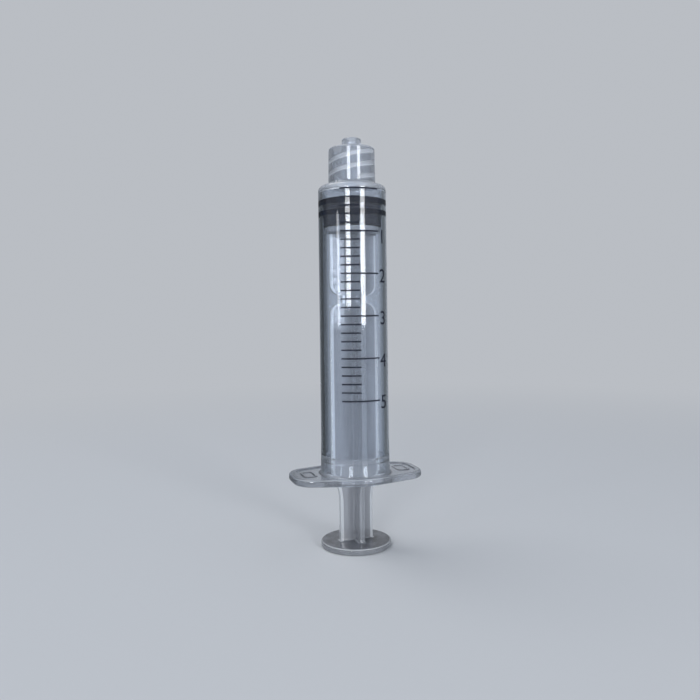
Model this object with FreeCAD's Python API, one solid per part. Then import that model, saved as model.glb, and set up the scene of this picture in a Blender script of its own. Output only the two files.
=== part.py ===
"""Luer lock syringe, 5 ml, three-piece and disposable, standing on its thumb disc with the tip up.

Millimetres. The origin is the middle of the thumb disc's underside, +Z runs up the syringe's axis to the
tip, and X runs along the finger flange. The printed scale is on the -Y side of the barrel.

Three mouldings slide into each other: the barrel with its locking collar, the rubber stopper, and the rod
that carries it. The plunger is drawn as it stands in use, a little short of fully pressed.
"""
import FreeCAD, Part
import math
import os

from FreeCAD import Vector

UP = Vector(0, 0, 1)
CENTRE = Vector(0, 0, 0)

# Capacity and scale
capacity_ml = 5.0
scale_step_ml = 0.2
steps_to_long_line = 5

# Bore and tube
bore_diameter = 12.3
tube_wall = 0.85
root_swell = 0.12
root_swell_length = 6.5

# Thumb disc
thumb_diameter = 14.45
thumb_thickness = 1.2
thumb_bevel = 0.3

# Cross-ribbed shaft
rod_length = 65.2
rib_thickness = 1.15
rib_root_radius = 0.35
foot_span = 7.0
shaft_span = 10.2
flare_start = 8.8
flare_radius = 14.0

# Breaking notch in the shaft
notch_height = 50.5
notch_gap = 1.6
notch_span = 5.2
notch_corner_radius = 2.2

# Front disc and the head that snaps into the stopper
front_disc_diameter = 11.4
front_disc_thickness = 1.2
stem_diameter = 3.2
stem_length = 1.2
head_diameter = 5.4
head_rim_height = 0.8
head_length = 2.9
head_tip_diameter = 2.6

# Rubber stopper
seal_clearance = 0.03
seat_clearance = 0.03
pocket_clearance = 0.15
stopper_length = 5.64
stopper_nose_height = 1.1
stopper_nose_flat = 0.8
stopper_body_relief = 0.2
stopper_groove_depth = 0.32
stopper_back_bevel = 0.3
front_ring_height = 1.2
rear_ring_height = 1.1
rear_ring_start = 2.15
ring_flank_height = 0.3

# Place of the stopper in the barrel
rest_gap = 1.5
bore_end_gap = 0.25

# Barrel from the zero line down to the open end
zero_line_to_open_end = 58.55
flange_thickness = 1.45
retaining_bead_height = 4.5
retaining_bead_rise = 0.2
retaining_bead_radius = 0.45
mouth_depth = 3.9
mouth_diameter = 12.8
mouth_edge = 0.3

# Finger flange outline
flange_length = 26.95
flange_end_width = 10.24
flange_taper_deg = 16.1
flange_corner_radius = 4.45
flange_middle_radius = 12.0
flange_edge_bevel = 0.35
border_width = 1.25
border_rise = 0.22
flange_root_bevel = 0.5
mark_offset = 9.9
mark_length = 4.8
mark_width = 2.8
mark_corner_radius = 1.0
mark_line_width = 0.5
mark_rise = 0.15

# Shoulder
zero_line_to_shoulder = 1.86
shoulder_fall = 0.6
shoulder_edge_radius = 1.2
nose_fit_gap = 0.1

# Locking collar
collar_height = 7.34
collar_top_diameter = 9.55
collar_base_diameter = 9.7
collar_rim_bevel = 0.4
thread_major_diameter = 8.0
thread_minor_diameter = 7.05
thread_lead = 5.0
thread_starts = 2
thread_root_width = 1.15
thread_crest_width = 0.45
thread_start_deg = 105.8
thread_bottom_run_out = 1.1
thread_top_run_out = 0.75
collar_mouth_chamfer = 0.25

# Tapered nozzle
nozzle_end_diameter = 3.97
nozzle_taper = 0.06
nozzle_above_collar = 2.0
nozzle_edge_bevel = 0.2
lumen_diameter = 2.1

# Printed lines
ink_thickness = 0.04
line_width = 0.29
line_left_deg = -37.5
short_line_right_deg = -5.0
long_line_right_deg = 29.0

# How far a cutting shape runs past the face it opens
overrun = 1.0

# Sizes that follow from those above
bore_radius = bore_diameter / 2
tube_radius = bore_radius + tube_wall
scale_length = capacity_ml * 1000 / (math.pi * bore_radius ** 2)
stopper_back_z = rod_length
seal_edge_z = stopper_back_z + stopper_length
zero_line_z = seal_edge_z + rest_gap
bore_end_z = zero_line_z + bore_end_gap
open_end_z = zero_line_z - zero_line_to_open_end
flange_top_z = open_end_z + flange_thickness
shoulder_z = zero_line_z + zero_line_to_shoulder
collar_top_z = shoulder_z + collar_height
nozzle_top_z = collar_top_z + nozzle_above_collar


def line(x0, z0, x1, z1):
    """A straight edge in the XZ plane."""
    return Part.LineSegment(Vector(x0, 0, z0), Vector(x1, 0, z1)).toShape()


def round_arc(x0, z0, x1, z1, centre_x, centre_z):
    """The shorter arc in the XZ plane from one point to the other about a centre."""
    radius = math.hypot(x0 - centre_x, z0 - centre_z)
    middle = Vector((x0 + x1) / 2 - centre_x, 0, (z0 + z1) / 2 - centre_z).normalize() * radius
    return Part.Arc(Vector(x0, 0, z0), Vector(centre_x, 0, centre_z) + middle, Vector(x1, 0, z1)).toShape()


def rounded_profile(corners):
    """A closed face in the XZ plane from (x, z, radius) corners; a radius of 0 leaves the corner sharp."""
    edges = []
    count = len(corners)
    starts = []
    ends = []
    for i in range(count):
        x, z, radius = corners[i]
        here = Vector(x, 0, z)
        before = Vector(corners[i - 1][0], 0, corners[i - 1][1])
        after = Vector(corners[(i + 1) % count][0], 0, corners[(i + 1) % count][1])
        to_before = (before - here).normalize()
        to_after = (after - here).normalize()
        if radius <= 0:
            starts.append(here)
            ends.append(here)
            continue
        half_angle = to_before.getAngle(to_after) / 2
        setback = radius / math.tan(half_angle)
        start = here + to_before * setback
        end = here + to_after * setback
        bisector = (to_before + to_after).normalize()
        middle = here + bisector * (radius / math.sin(half_angle) - radius)
        edges.append(Part.Arc(start, middle, end).toShape())
        starts.append(start)
        ends.append(end)
    for i in range(count):
        run_start = ends[i]
        run_end = starts[(i + 1) % count]
        if run_start.distanceToPoint(run_end) > 1e-6:
            edges.append(Part.LineSegment(run_start, run_end).toShape())
    wire = Part.Wire(Part.__sortEdges__(edges))
    return Part.Face(wire)


def turned(corners):
    """A solid of revolution about Z from (radius, z, corner radius) points."""
    return rounded_profile(corners).revolve(CENTRE, UP, 360)


def upright_prism(corners, low_z, height):
    """A prism along Z from the (x, y, radius) corners of its plan."""
    face = rounded_profile(corners)
    face.rotate(CENTRE, Vector(1, 0, 0), 90)
    face.translate(Vector(0, 0, low_z))
    return face.extrude(Vector(0, 0, height))


def nozzle_radius_at(z):
    """Radius of the tapered nozzle, which grows from its tip to its root."""
    return (nozzle_end_diameter + nozzle_taper * (nozzle_top_z - z)) / 2


def barrel_outside():
    """The turned outer form: tube, shoulder, collar as a solid, and nozzle."""
    root_radius = tube_radius + root_swell
    floor_z = flange_top_z - border_rise
    shoulder_low_z = shoulder_z - shoulder_fall
    return turned([
        (0, open_end_z, 0),
        (root_radius, open_end_z, 0),
        (root_radius + flange_root_bevel, floor_z - flange_thickness / 2, 0),
        (root_radius + flange_root_bevel, floor_z, 0),
        (root_radius, floor_z + flange_root_bevel, 0),
        (tube_radius, flange_top_z + root_swell_length, 0),
        (tube_radius, shoulder_low_z, shoulder_edge_radius),
        (collar_base_diameter / 2, shoulder_z, 0),
        (collar_top_diameter / 2, collar_top_z - collar_rim_bevel, 0),
        (collar_top_diameter / 2 - collar_rim_bevel, collar_top_z, 0),
        (nozzle_radius_at(collar_top_z), collar_top_z, 0),
        (nozzle_end_diameter / 2, nozzle_top_z - nozzle_edge_bevel, 0),
        (nozzle_end_diameter / 2 - nozzle_edge_bevel, nozzle_top_z, 0),
        (0, nozzle_top_z, 0),
    ])


def bore_and_lumen():
    """What is hollow along the axis: mouth, retaining bead, bore, sloping end wall and lumen."""
    lumen_radius = lumen_diameter / 2
    bead_radius = bore_radius - retaining_bead_rise
    bead_z = open_end_z + retaining_bead_height
    mouth_radius = mouth_diameter / 2
    nose_slope = stopper_nose_height / (bore_radius - seal_clearance - stopper_nose_flat / 2)
    end_wall_rise = nose_slope * (bore_radius - lumen_radius) + nose_fit_gap
    return turned([
        (0, open_end_z - overrun, 0),
        (mouth_radius + mouth_edge, open_end_z - overrun, 0),
        (mouth_radius + mouth_edge, open_end_z, 0),
        (mouth_radius, open_end_z + mouth_edge, 0),
        (mouth_radius, open_end_z + mouth_depth - mouth_edge, 0),
        (bead_radius, open_end_z + mouth_depth, 0),
        (bead_radius, bead_z, 0),
        (bore_radius, bead_z + retaining_bead_radius, 0),
        (bore_radius, bore_end_z, 0),
        (lumen_radius, bore_end_z + end_wall_rise, 0),
        (lumen_radius, nozzle_top_z + overrun, 0),
        (0, nozzle_top_z + overrun, 0),
    ])


def collar_annulus():
    """The space between nozzle and collar, open at the top, that a mating fitting screws into."""
    major_radius = thread_major_diameter / 2
    return turned([
        (nozzle_radius_at(shoulder_z), shoulder_z, 0),
        (major_radius, shoulder_z, 0),
        (major_radius, collar_top_z - collar_mouth_chamfer, 0),
        (major_radius + collar_mouth_chamfer, collar_top_z, 0),
        (major_radius + collar_mouth_chamfer, collar_top_z + overrun, 0),
        (nozzle_radius_at(collar_top_z + overrun), collar_top_z + overrun, 0),
    ])


def thread_ridge(turn_deg):
    """One start of the collar's internal thread: a tapered ridge swept up a helix."""
    major_radius = thread_major_diameter / 2
    minor_radius = thread_minor_diameter / 2
    bite = (collar_top_diameter / 2 - major_radius) / 4
    low_z = shoulder_z + thread_bottom_run_out
    height = collar_height - thread_bottom_run_out - thread_top_run_out
    helix = Part.makeHelix(thread_lead, height, major_radius)
    helix.translate(Vector(0, 0, low_z))
    flank = (thread_root_width - thread_crest_width) / 2
    section = Part.makePolygon([
        Vector(major_radius + bite, 0, low_z - thread_root_width / 2),
        Vector(major_radius, 0, low_z - thread_root_width / 2),
        Vector(minor_radius, 0, low_z - thread_root_width / 2 + flank),
        Vector(minor_radius, 0, low_z + thread_root_width / 2 - flank),
        Vector(major_radius, 0, low_z + thread_root_width / 2),
        Vector(major_radius + bite, 0, low_z + thread_root_width / 2),
        Vector(major_radius + bite, 0, low_z - thread_root_width / 2),
    ])
    sweep = Part.BRepOffsetAPI.MakePipeShell(Part.Wire(helix.Edges))
    sweep.setBiNormalMode(UP)
    sweep.add(section)
    sweep.build()
    sweep.makeSolid()
    ridge = sweep.shape()
    ridge.rotate(CENTRE, UP, turn_deg)
    return ridge


def flange_outline(inset, low_z, height):
    """The flange's outline, widest at the barrel and tapered to its ends, drawn in by inset, as a prism."""
    taper = math.radians(flange_taper_deg)
    half_length = flange_length / 2 - inset
    half_middle = flange_end_width / 2 + flange_length / 2 * math.tan(taper) - inset / math.cos(taper)
    half_end = half_middle - half_length * math.tan(taper)
    corner = flange_corner_radius - inset
    middle = flange_middle_radius - inset
    return upright_prism([
        (half_length, -half_end, corner),
        (half_length, half_end, corner),
        (0, half_middle, middle),
        (-half_length, half_end, corner),
        (-half_length, -half_end, corner),
        (0, -half_middle, middle),
    ], low_z, height)


def mark_outline(x, inset, low_z, height):
    """A rounded oblong about a place on the flange, drawn in by inset, as a prism."""
    half_width = mark_width / 2 - inset
    half_length = mark_length / 2 - inset
    corner = mark_corner_radius - inset
    return upright_prism([
        (x + half_width, -half_length, corner),
        (x + half_width, half_length, corner),
        (x - half_width, half_length, corner),
        (x - half_width, -half_length, corner),
    ], low_z, height)


def flange_plate():
    """The finger flange: bevelled edges, raised border, and a plain raised outline at each end."""
    plate = flange_outline(0, open_end_z, flange_thickness)
    rims = [edge for edge in plate.Edges if abs(edge.BoundBox.ZMax - edge.BoundBox.ZMin) < 1e-6]
    plate = plate.makeChamfer(flange_edge_bevel, rims)
    floor_z = flange_top_z - border_rise
    plate = plate.cut(flange_outline(border_width, floor_z, flange_thickness))
    for x in (-mark_offset, mark_offset):
        mark = mark_outline(x, 0, floor_z - mark_rise, 2 * mark_rise)
        mark = mark.cut(mark_outline(x, mark_line_width, floor_z - mark_rise, 2 * mark_rise))
        plate = plate.fuse(mark)
    return plate


def barrel():
    """The barrel moulding in one piece."""
    body = barrel_outside().fuse(flange_plate())
    body = body.cut(bore_and_lumen()).cut(collar_annulus()).removeSplitter()
    for start in range(thread_starts):
        body = body.fuse(thread_ridge(thread_start_deg + 360 * start / thread_starts))
    return body


def rib_blade():
    """One full-width blade of the cross, cut to the shaft's side outline."""
    foot = foot_span / 2
    shaft = shaft_span / 2
    notch = notch_span / 2
    gap = notch_gap / 2
    flare_height = math.sqrt(2 * flare_radius * (shaft - foot) - (shaft - foot) ** 2)
    flare_end_z = flare_start + flare_height
    top_z = rod_length - front_disc_thickness / 2
    low_corner_z = notch_height - gap
    high_corner_z = notch_height + gap
    reach = notch_corner_radius
    turn = shaft - reach
    half = [
        line(0, thumb_thickness / 2, foot, thumb_thickness / 2),
        line(foot, thumb_thickness / 2, foot, flare_start),
        round_arc(foot, flare_start, shaft, flare_end_z, foot + flare_radius, flare_start),
        line(shaft, flare_end_z, shaft, low_corner_z - reach),
        round_arc(shaft, low_corner_z - reach, turn, low_corner_z, turn, low_corner_z - reach),
        line(turn, low_corner_z, notch, low_corner_z),
        line(notch, low_corner_z, notch, high_corner_z),
        line(notch, high_corner_z, turn, high_corner_z),
        round_arc(turn, high_corner_z, shaft, high_corner_z + reach, turn, high_corner_z + reach),
        line(shaft, high_corner_z + reach, shaft, top_z),
        line(shaft, top_z, 0, top_z),
        line(0, top_z, 0, thumb_thickness / 2),
    ]
    face = Part.Face(Part.Wire(half))
    face.translate(Vector(0, -rib_thickness / 2, 0))
    right = face.extrude(Vector(0, rib_thickness, 0))
    left = right.mirror(CENTRE, Vector(1, 0, 0))
    return right.fuse(left).removeSplitter()


def ribbed_shaft():
    """Two blades crossed at right angles, with rounded roots where they meet."""
    blade = rib_blade()
    across = blade.copy()
    across.rotate(CENTRE, UP, 90)
    cross = blade.fuse(across).removeSplitter()
    inner = rib_thickness / 2
    roots = []
    for edge in cross.Edges:
        box = edge.BoundBox
        upright = box.ZMax - box.ZMin > 1 and box.XMax - box.XMin < 1e-6 and box.YMax - box.YMin < 1e-6
        if upright and abs(abs(box.XMin) - inner) < 1e-6 and abs(abs(box.YMin) - inner) < 1e-6:
            roots.append(edge)
    return cross.makeFillet(rib_root_radius, roots)


def plunger_rod():
    """The rod moulding: thumb disc, cross-ribbed shaft, front disc and head."""
    thumb = turned([
        (0, 0, 0),
        (thumb_diameter / 2 - thumb_bevel, 0, 0),
        (thumb_diameter / 2, thumb_bevel, 0),
        (thumb_diameter / 2, thumb_thickness - thumb_bevel, 0),
        (thumb_diameter / 2 - thumb_bevel, thumb_thickness, 0),
        (0, thumb_thickness, 0),
    ])
    disc_z = rod_length - front_disc_thickness
    rim_z = rod_length + stem_length
    front = turned([
        (0, disc_z, 0),
        (front_disc_diameter / 2, disc_z, 0),
        (front_disc_diameter / 2, rod_length - seat_clearance, 0),
        (stem_diameter / 2, rod_length - seat_clearance, 0),
        (stem_diameter / 2, rim_z, 0),
        (head_diameter / 2, rim_z, 0),
        (head_diameter / 2, rim_z + head_rim_height, 0),
        (head_tip_diameter / 2, rod_length + head_length, 0),
        (0, rod_length + head_length, 0),
    ])
    return thumb.fuse(ribbed_shaft()).fuse(front).removeSplitter()


def rubber_stopper():
    """The stopper: two sealing rings, a low cone in front and an undercut pocket for the rod's head."""
    seal = bore_radius - seal_clearance
    body = bore_radius - stopper_body_relief
    groove = bore_radius - stopper_groove_depth
    back = stopper_back_z
    mouth = stem_diameter / 2 + pocket_clearance
    pocket = head_diameter / 2 + pocket_clearance
    pocket_tip = head_tip_diameter / 2 + pocket_clearance
    pocket_low_z = back + stem_length - pocket_clearance
    pocket_side_z = back + stem_length + head_rim_height + pocket_clearance
    rear_ring_end = rear_ring_start + rear_ring_height
    rear_top_z = back + rear_ring_end
    front_ring_z = seal_edge_z - front_ring_height
    return turned([
        (mouth, back, 0),
        (body - stopper_back_bevel, back, 0),
        (body, back + stopper_back_bevel, 0),
        (body, back + rear_ring_start, 0),
        (seal, back + rear_ring_start + (body - groove), 0),
        (seal, rear_top_z, 0),
        (groove, rear_top_z + ring_flank_height, 0),
        (groove, front_ring_z - ring_flank_height, 0),
        (seal, front_ring_z, 0),
        (seal, seal_edge_z, 0),
        (stopper_nose_flat / 2, seal_edge_z + stopper_nose_height, 0),
        (0, seal_edge_z + stopper_nose_height, 0),
        (0, back + head_length + pocket_clearance, 0),
        (pocket_tip, back + head_length + pocket_clearance, 0),
        (pocket, pocket_side_z, 0),
        (pocket, pocket_low_z, 0),
        (mouth, pocket_low_z, 0),
    ])


def printed_line(z, right_deg):
    """One printed line: a thin strip of ink round the front of the tube, facing -Y."""
    low = z - line_width / 2
    strip = Part.makePolygon([
        Vector(tube_radius, 0, low),
        Vector(tube_radius + ink_thickness, 0, low),
        Vector(tube_radius + ink_thickness, 0, low + line_width),
        Vector(tube_radius, 0, low + line_width),
        Vector(tube_radius, 0, low),
    ])
    solid = Part.Face(strip).revolve(CENTRE, UP, right_deg - line_left_deg)
    solid.rotate(CENTRE, UP, line_left_deg - 90)
    return solid


def graduation_lines():
    """The printed scale: a short line at each step and a long one at each whole millilitre."""
    lines = []
    for step in range(round(capacity_ml / scale_step_ml) + 1):
        z = zero_line_z - scale_length * step * scale_step_ml / capacity_ml
        is_long = step % steps_to_long_line == 0
        lines.append(printed_line(z, long_line_right_deg if is_long else short_line_right_deg))
    return Part.makeCompound(lines)


pieces = {
    "barrel": barrel,
    "plunger_rod": plunger_rod,
    "rubber_stopper": rubber_stopper,
    "graduation_lines": graduation_lines,
}

os.makedirs("parts", exist_ok=True)
for name, make in pieces.items():
    shape = make()
    shape.exportStep("parts/" + name + ".step")
    box = shape.BoundBox
    print(name, "solids", len(shape.Solids), "valid", shape.isValid(), "volume", round(shape.Volume, 2),
          "z", round(box.ZMin, 3), "to", round(box.ZMax, 3))
print("overall height", round(nozzle_top_z, 2), "scale length", round(scale_length, 2))
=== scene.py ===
import math

import bmesh
import bpy
import numpy as np
from mathutils import Matrix, Vector


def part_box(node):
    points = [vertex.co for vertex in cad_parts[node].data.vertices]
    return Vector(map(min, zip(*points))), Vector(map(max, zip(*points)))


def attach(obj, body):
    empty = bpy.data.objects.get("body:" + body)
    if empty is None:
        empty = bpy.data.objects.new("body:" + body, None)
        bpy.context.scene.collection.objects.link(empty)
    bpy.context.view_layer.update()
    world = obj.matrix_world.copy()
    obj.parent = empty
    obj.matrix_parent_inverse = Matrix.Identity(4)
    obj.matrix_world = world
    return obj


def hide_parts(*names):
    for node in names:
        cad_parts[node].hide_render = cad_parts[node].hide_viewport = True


# Luer lock syringe of clear plastic, standing on its thumb disc.
# Everything is in metres in the CAD model's frame: +Z up the syringe's axis, X along the finger flange, and
# the printed scale on the -Y side. A size written with mm is in millimetres.

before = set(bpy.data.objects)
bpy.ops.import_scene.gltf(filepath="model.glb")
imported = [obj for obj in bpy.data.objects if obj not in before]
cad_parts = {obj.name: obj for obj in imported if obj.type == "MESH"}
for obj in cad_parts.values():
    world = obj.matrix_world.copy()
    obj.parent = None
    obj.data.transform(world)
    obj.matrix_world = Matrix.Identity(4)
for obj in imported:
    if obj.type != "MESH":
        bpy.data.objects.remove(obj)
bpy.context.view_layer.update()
mm = 0.001

# Places that the frame gives
barrel_low, barrel_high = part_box("barrel")
rod_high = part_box("plunger_rod")[1]
stopper_low, stopper_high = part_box("rubber_stopper")
lines_low, lines_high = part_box("graduation_lines")
open_end_z = barrel_low[2]
nozzle_top_z = barrel_high[2]
stopper_back_z = stopper_low[2]
stopper_nose_z = stopper_high[2]

# Printed scale
line_width = 0.29 * mm
ink_thickness = 0.03 * mm
ink_lift = 0.006 * mm
line_count = 26
steps_to_long_line = 5
line_left_deg = -37.5
short_line_right_deg = -5.0
long_line_right_deg = 29.0
zero_line_z = lines_high[2] - line_width / 2
last_line_z = lines_low[2] + line_width / 2
line_pitch = (zero_line_z - last_line_z) / (line_count - 1)
figure_count = 5
figure_height = 2.7 * mm
figure_stretch = 1.15
figure_half_width = 1.2 * mm
figure_middle_deg = 40.0
figure_drop = 0.42 * mm
first_figure_drop = 0.95 * mm

# Barrel
bore_radius = 6.15 * mm
tube_radius = 7.0 * mm
root_radius = 7.12 * mm
root_swell_length = 6.5 * mm
root_fillet = 0.6 * mm
mouth_radius = 6.4 * mm
mouth_edge = 0.3 * mm
mouth_taper = 0.21 * mm
mouth_depth = 3.9 * mm
mouth_edge_depth = 0.25 * mm
mouth_lip_radius = mouth_radius + mouth_edge + 0.1 * mm
bead_radius = 5.95 * mm
bead_top = 4.5 * mm
bead_slope = 0.45 * mm
flange_thickness = 1.45 * mm
flange_top_z = open_end_z + flange_thickness
zero_line_to_shoulder = 1.86 * mm
bore_end_gap = 0.25 * mm
bore_end_rise = 1.08 * mm
shoulder_z = zero_line_z + zero_line_to_shoulder
shoulder_fall = 0.6 * mm
shoulder_round = 1.2 * mm
bore_end_z = zero_line_z + bore_end_gap

# Finger flange
flange_half_length = barrel_high[0]
flange_half_end = 5.12 * mm
flange_taper = math.radians(16.1)
flange_half_middle = flange_half_end + flange_half_length * math.tan(flange_taper)
flange_corner_round = 4.45 * mm
flange_middle_round = 12.0 * mm
flange_edge_round = 0.45 * mm
border_width = 1.25 * mm
border_rise = 0.22 * mm
border_slope = 0.07 * mm
mark_offset = 9.9 * mm
mark_half_width = 1.15 * mm
mark_half_length = 2.15 * mm
mark_corner_round = 0.75 * mm
mark_line_half_width = 0.25 * mm
mark_rise = 0.15 * mm

# Locking collar and nozzle
collar_height = 7.34 * mm
collar_top_z = shoulder_z + collar_height
collar_top_radius = 4.775 * mm
collar_base_radius = 4.85 * mm
collar_rim_round = 0.36 * mm
collar_mouth_chamfer = 0.25 * mm
thread_major_radius = 4.0 * mm
thread_minor_radius = 3.525 * mm
thread_lead = 5.0 * mm
thread_starts = 2
thread_root_width = 1.15 * mm
thread_crest_width = 0.45 * mm
thread_start_deg = 105.8
thread_end_fade_turns = 0.06
thread_low_z = shoulder_z + 1.1 * mm
thread_height = collar_height - 1.85 * mm
nozzle_end_radius = 1.985 * mm
nozzle_taper = 0.06
lumen_radius = 1.05 * mm

# Plunger rod
thumb_radius = rod_high[0]
thumb_thickness = 1.2 * mm
thumb_edge_round = 0.42 * mm
rib_half_thickness = 0.575 * mm
rib_root_round = 0.35 * mm
rib_edge_round = 0.16 * mm
# Width of the band by each rib edge that takes the painted highlight
rib_edge_highlight_band = 0.42 * mm
foot_half_span = 3.5 * mm
shaft_half_span = 5.1 * mm
flare_start_z = 8.8 * mm
flare_radius = 14.0 * mm
flare_end_round = 2.0 * mm
notch_z = 50.5 * mm
notch_half_gap = 0.8 * mm
notch_half_span = 2.6 * mm
notch_round = 2.2 * mm
end_root_round = 0.28 * mm
front_disc_radius = 5.7 * mm
front_disc_thickness = 1.2 * mm
front_disc_top_z = stopper_back_z - 0.03 * mm
front_disc_low_z = stopper_back_z - front_disc_thickness
stem_radius = 1.6 * mm
stem_top_z = stopper_back_z + 1.2 * mm
head_radius = 2.7 * mm
head_rim_height = 0.8 * mm
head_tip_radius = 1.3 * mm
head_tip_z = rod_high[2]
tip_flat_radius = 0.5 * mm
rod_turn_deg = 5.0

# Stopper
contact_radius = bore_radius + 0.02 * mm
stopper_nose_flat_radius = 0.4 * mm
stopper_body_radius = 5.95 * mm
groove_radius = 5.83 * mm
pocket_mouth_radius = 1.75 * mm
pocket_radius = 2.85 * mm
pocket_tip_radius = 1.45 * mm
pocket_clearance = 0.15 * mm
stopper_length = 5.64 * mm
seal_edge_z = stopper_back_z + stopper_length
rear_ring_start = 2.15 * mm
rear_ring_height = 1.1 * mm
front_ring_height = 1.2 * mm
ring_flank = 0.3 * mm
ring_corner = 0.12 * mm

# The photograph's camera
camera_azimuth_deg = -16.6
camera_distance = 143.9 * mm
camera_height = 47.3 * mm
camera_side_step = -0.72 * mm
camera_roll_deg = 0.72
focal_length_px = 697.0
picture_px = 700.0
horizon_row_px = 315.0
sensor_width = 36.0

# The studio, in metres
lamp_distance = 0.6
high_lamp_distance = 0.7
floor_half_size = 6.0
floor_z = -0.03 * mm
floor_fade_start = 0.05
floor_fade_end = 0.35

# How fine the meshes are
hold = 0.04 * mm
longest_run = 2.5 * mm
thread_rows = 74
stopper_columns = 160
strip_columns = 28
figure_cut_step = 0.12 * mm
weld_distance = 1e-7

# How steep a face lies where a rim gets a painted highlight, as if it caught the light: the upward part of
# its normal
rim_highlight_lift_from = 0.5
rim_highlight_lift_to = 0.95


def rounded_path(corners, step_deg=12.0, longest=longest_run):
    """An outline through corners (across, up, radius): rounded, with rows held close to each bend."""
    bends = [[Vector(corners[0][:2])]]
    for before, corner, after in zip(corners, corners[1:], corners[2:]):
        here = Vector(corner[:2])
        back = (Vector(before[:2]) - here).normalized()
        on = (Vector(after[:2]) - here).normalized()
        half_angle = back.angle(on) / 2
        turn = math.pi - 2 * half_angle
        if corner[2] <= 0 or turn < 1e-4:
            bends.append([here])
            continue
        side = 1 if -back.x * on.y + back.y * on.x > 0 else -1
        centre = here + (back + on).normalized() * (corner[2] / math.sin(half_angle))
        arm = here + back * (corner[2] / math.tan(half_angle)) - centre
        steps = max(3, math.ceil(math.degrees(turn) / step_deg))
        bends.append([centre + Matrix.Rotation(side * turn * i / steps, 2) @ arm for i in range(steps + 1)])
    bends.append([Vector(corners[-1][:2])])
    path = []
    for bend, following in zip(bends, bends[1:]):
        path.extend(bend)
        run = following[0] - bend[-1]
        if run.length > 4 * hold:
            pieces = max(1, math.ceil(run.length / longest))
            inner = [hold / run.length]
            inner.extend(i / pieces for i in range(1, pieces))
            inner.append(1 - hold / run.length)
            path.extend(bend[-1] + run * part for part in inner)
    path.extend(bends[-1])
    return np.array([tuple(point) for point in path])


def turned_rings(path, angles):
    """A ring of points about Z for each (radius, height) of an outline."""
    across = np.outer(path[:, 0], np.cos(angles))
    along = np.outer(path[:, 0], np.sin(angles))
    up = np.repeat(path[:, 1:2], len(angles), axis=1)
    return np.stack([across, along, up], axis=-1)


def skin(name, rings, poles=None):
    """A smooth closed piece through rings of points: the last meets the first, or each end has a pole."""
    count, around = rings.shape[:2]
    index = np.arange(count * around).reshape(count, around)
    points = rings.reshape(-1, 3).tolist()
    upper = np.roll(index, -1, axis=0) if poles is None else index[1:]
    lower = index if poles is None else index[:-1]
    quads = np.stack([lower, np.roll(lower, -1, axis=1), np.roll(upper, -1, axis=1), upper], axis=-1)
    faces = quads.reshape(-1, 4).tolist()
    for pole, ring in zip(poles or [], (index[0], index[-1])):
        points.append(tuple(pole))
        faces.extend([int(a), int(b), len(points) - 1] for a, b in zip(ring, np.roll(ring, -1)))
    mesh = bpy.data.meshes.new(name)
    mesh.from_pydata(points, [], faces)
    work = bmesh.new()
    work.from_mesh(mesh)
    bmesh.ops.recalc_face_normals(work, faces=work.faces)
    work.to_mesh(mesh)
    work.free()
    mesh.shade_smooth()
    piece = bpy.data.objects.new(name, mesh)
    bpy.context.collection.objects.link(piece)
    return piece


def level_ring(reach, angles, z):
    """A level ring of points, as far from the axis at each angle as reach says."""
    return np.stack([reach * np.cos(angles), reach * np.sin(angles), np.full(len(angles), z)], axis=-1)


def smooth_step(value):
    """0 below 0, 1 above 1, and a soft S between."""
    value = np.clip(value, 0, 1)
    return value * value * (3 - 2 * value)


def nozzle_radius_at(z):
    """Radius of the tapered nozzle at a height."""
    return nozzle_end_radius + nozzle_taper * (nozzle_top_z - z) / 2


def barrel_angles():
    """Angles round the barrel, closer together where the flange carries its two raised outlines."""
    close = np.arange(-18, 18, 0.75)
    even = np.arange(18, 162, 2.0)
    return np.radians(np.sort(np.concatenate([close, even, close + 180, even + 180]) % 360))


def flange_edge(inset):
    """The finger flange's outline as points, drawn in by inset."""
    path = rounded_path([
        (flange_half_length, 0, 0),
        (flange_half_length, flange_half_end, flange_corner_round),
        (0, flange_half_middle, flange_middle_round),
        (-flange_half_length, flange_half_end, flange_corner_round),
        (-flange_half_length, -flange_half_end, flange_corner_round),
        (0, -flange_half_middle, flange_middle_round),
        (flange_half_length, -flange_half_end, flange_corner_round),
        (flange_half_length, 0, 0),
    ], step_deg=2.0, longest=0.15 * mm)[:-1]
    along = np.roll(path, -1, axis=0) - np.roll(path, 1, axis=0)
    along /= np.linalg.norm(along, axis=1)[:, None]
    return path + inset * np.stack([-along[:, 1], along[:, 0]], axis=1)


def flange_reach(inset, angles):
    """How far the flange's outline, drawn in by inset, lies from the axis at each angle."""
    path = flange_edge(inset)
    path_angles = np.arctan2(path[:, 1], path[:, 0])
    return np.interp(angles, path_angles, np.hypot(path[:, 0], path[:, 1]), period=2 * np.pi)


def outside_oblong(across, along, half_width, half_length, corner):
    """How far points lie outside a rounded oblong about the origin; below 0 inside it."""
    x = np.abs(across) - (half_width - corner)
    y = np.abs(along) - (half_length - corner)
    return np.hypot(np.maximum(x, 0), np.maximum(y, 0)) + np.minimum(np.maximum(x, y), 0) - corner


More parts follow.
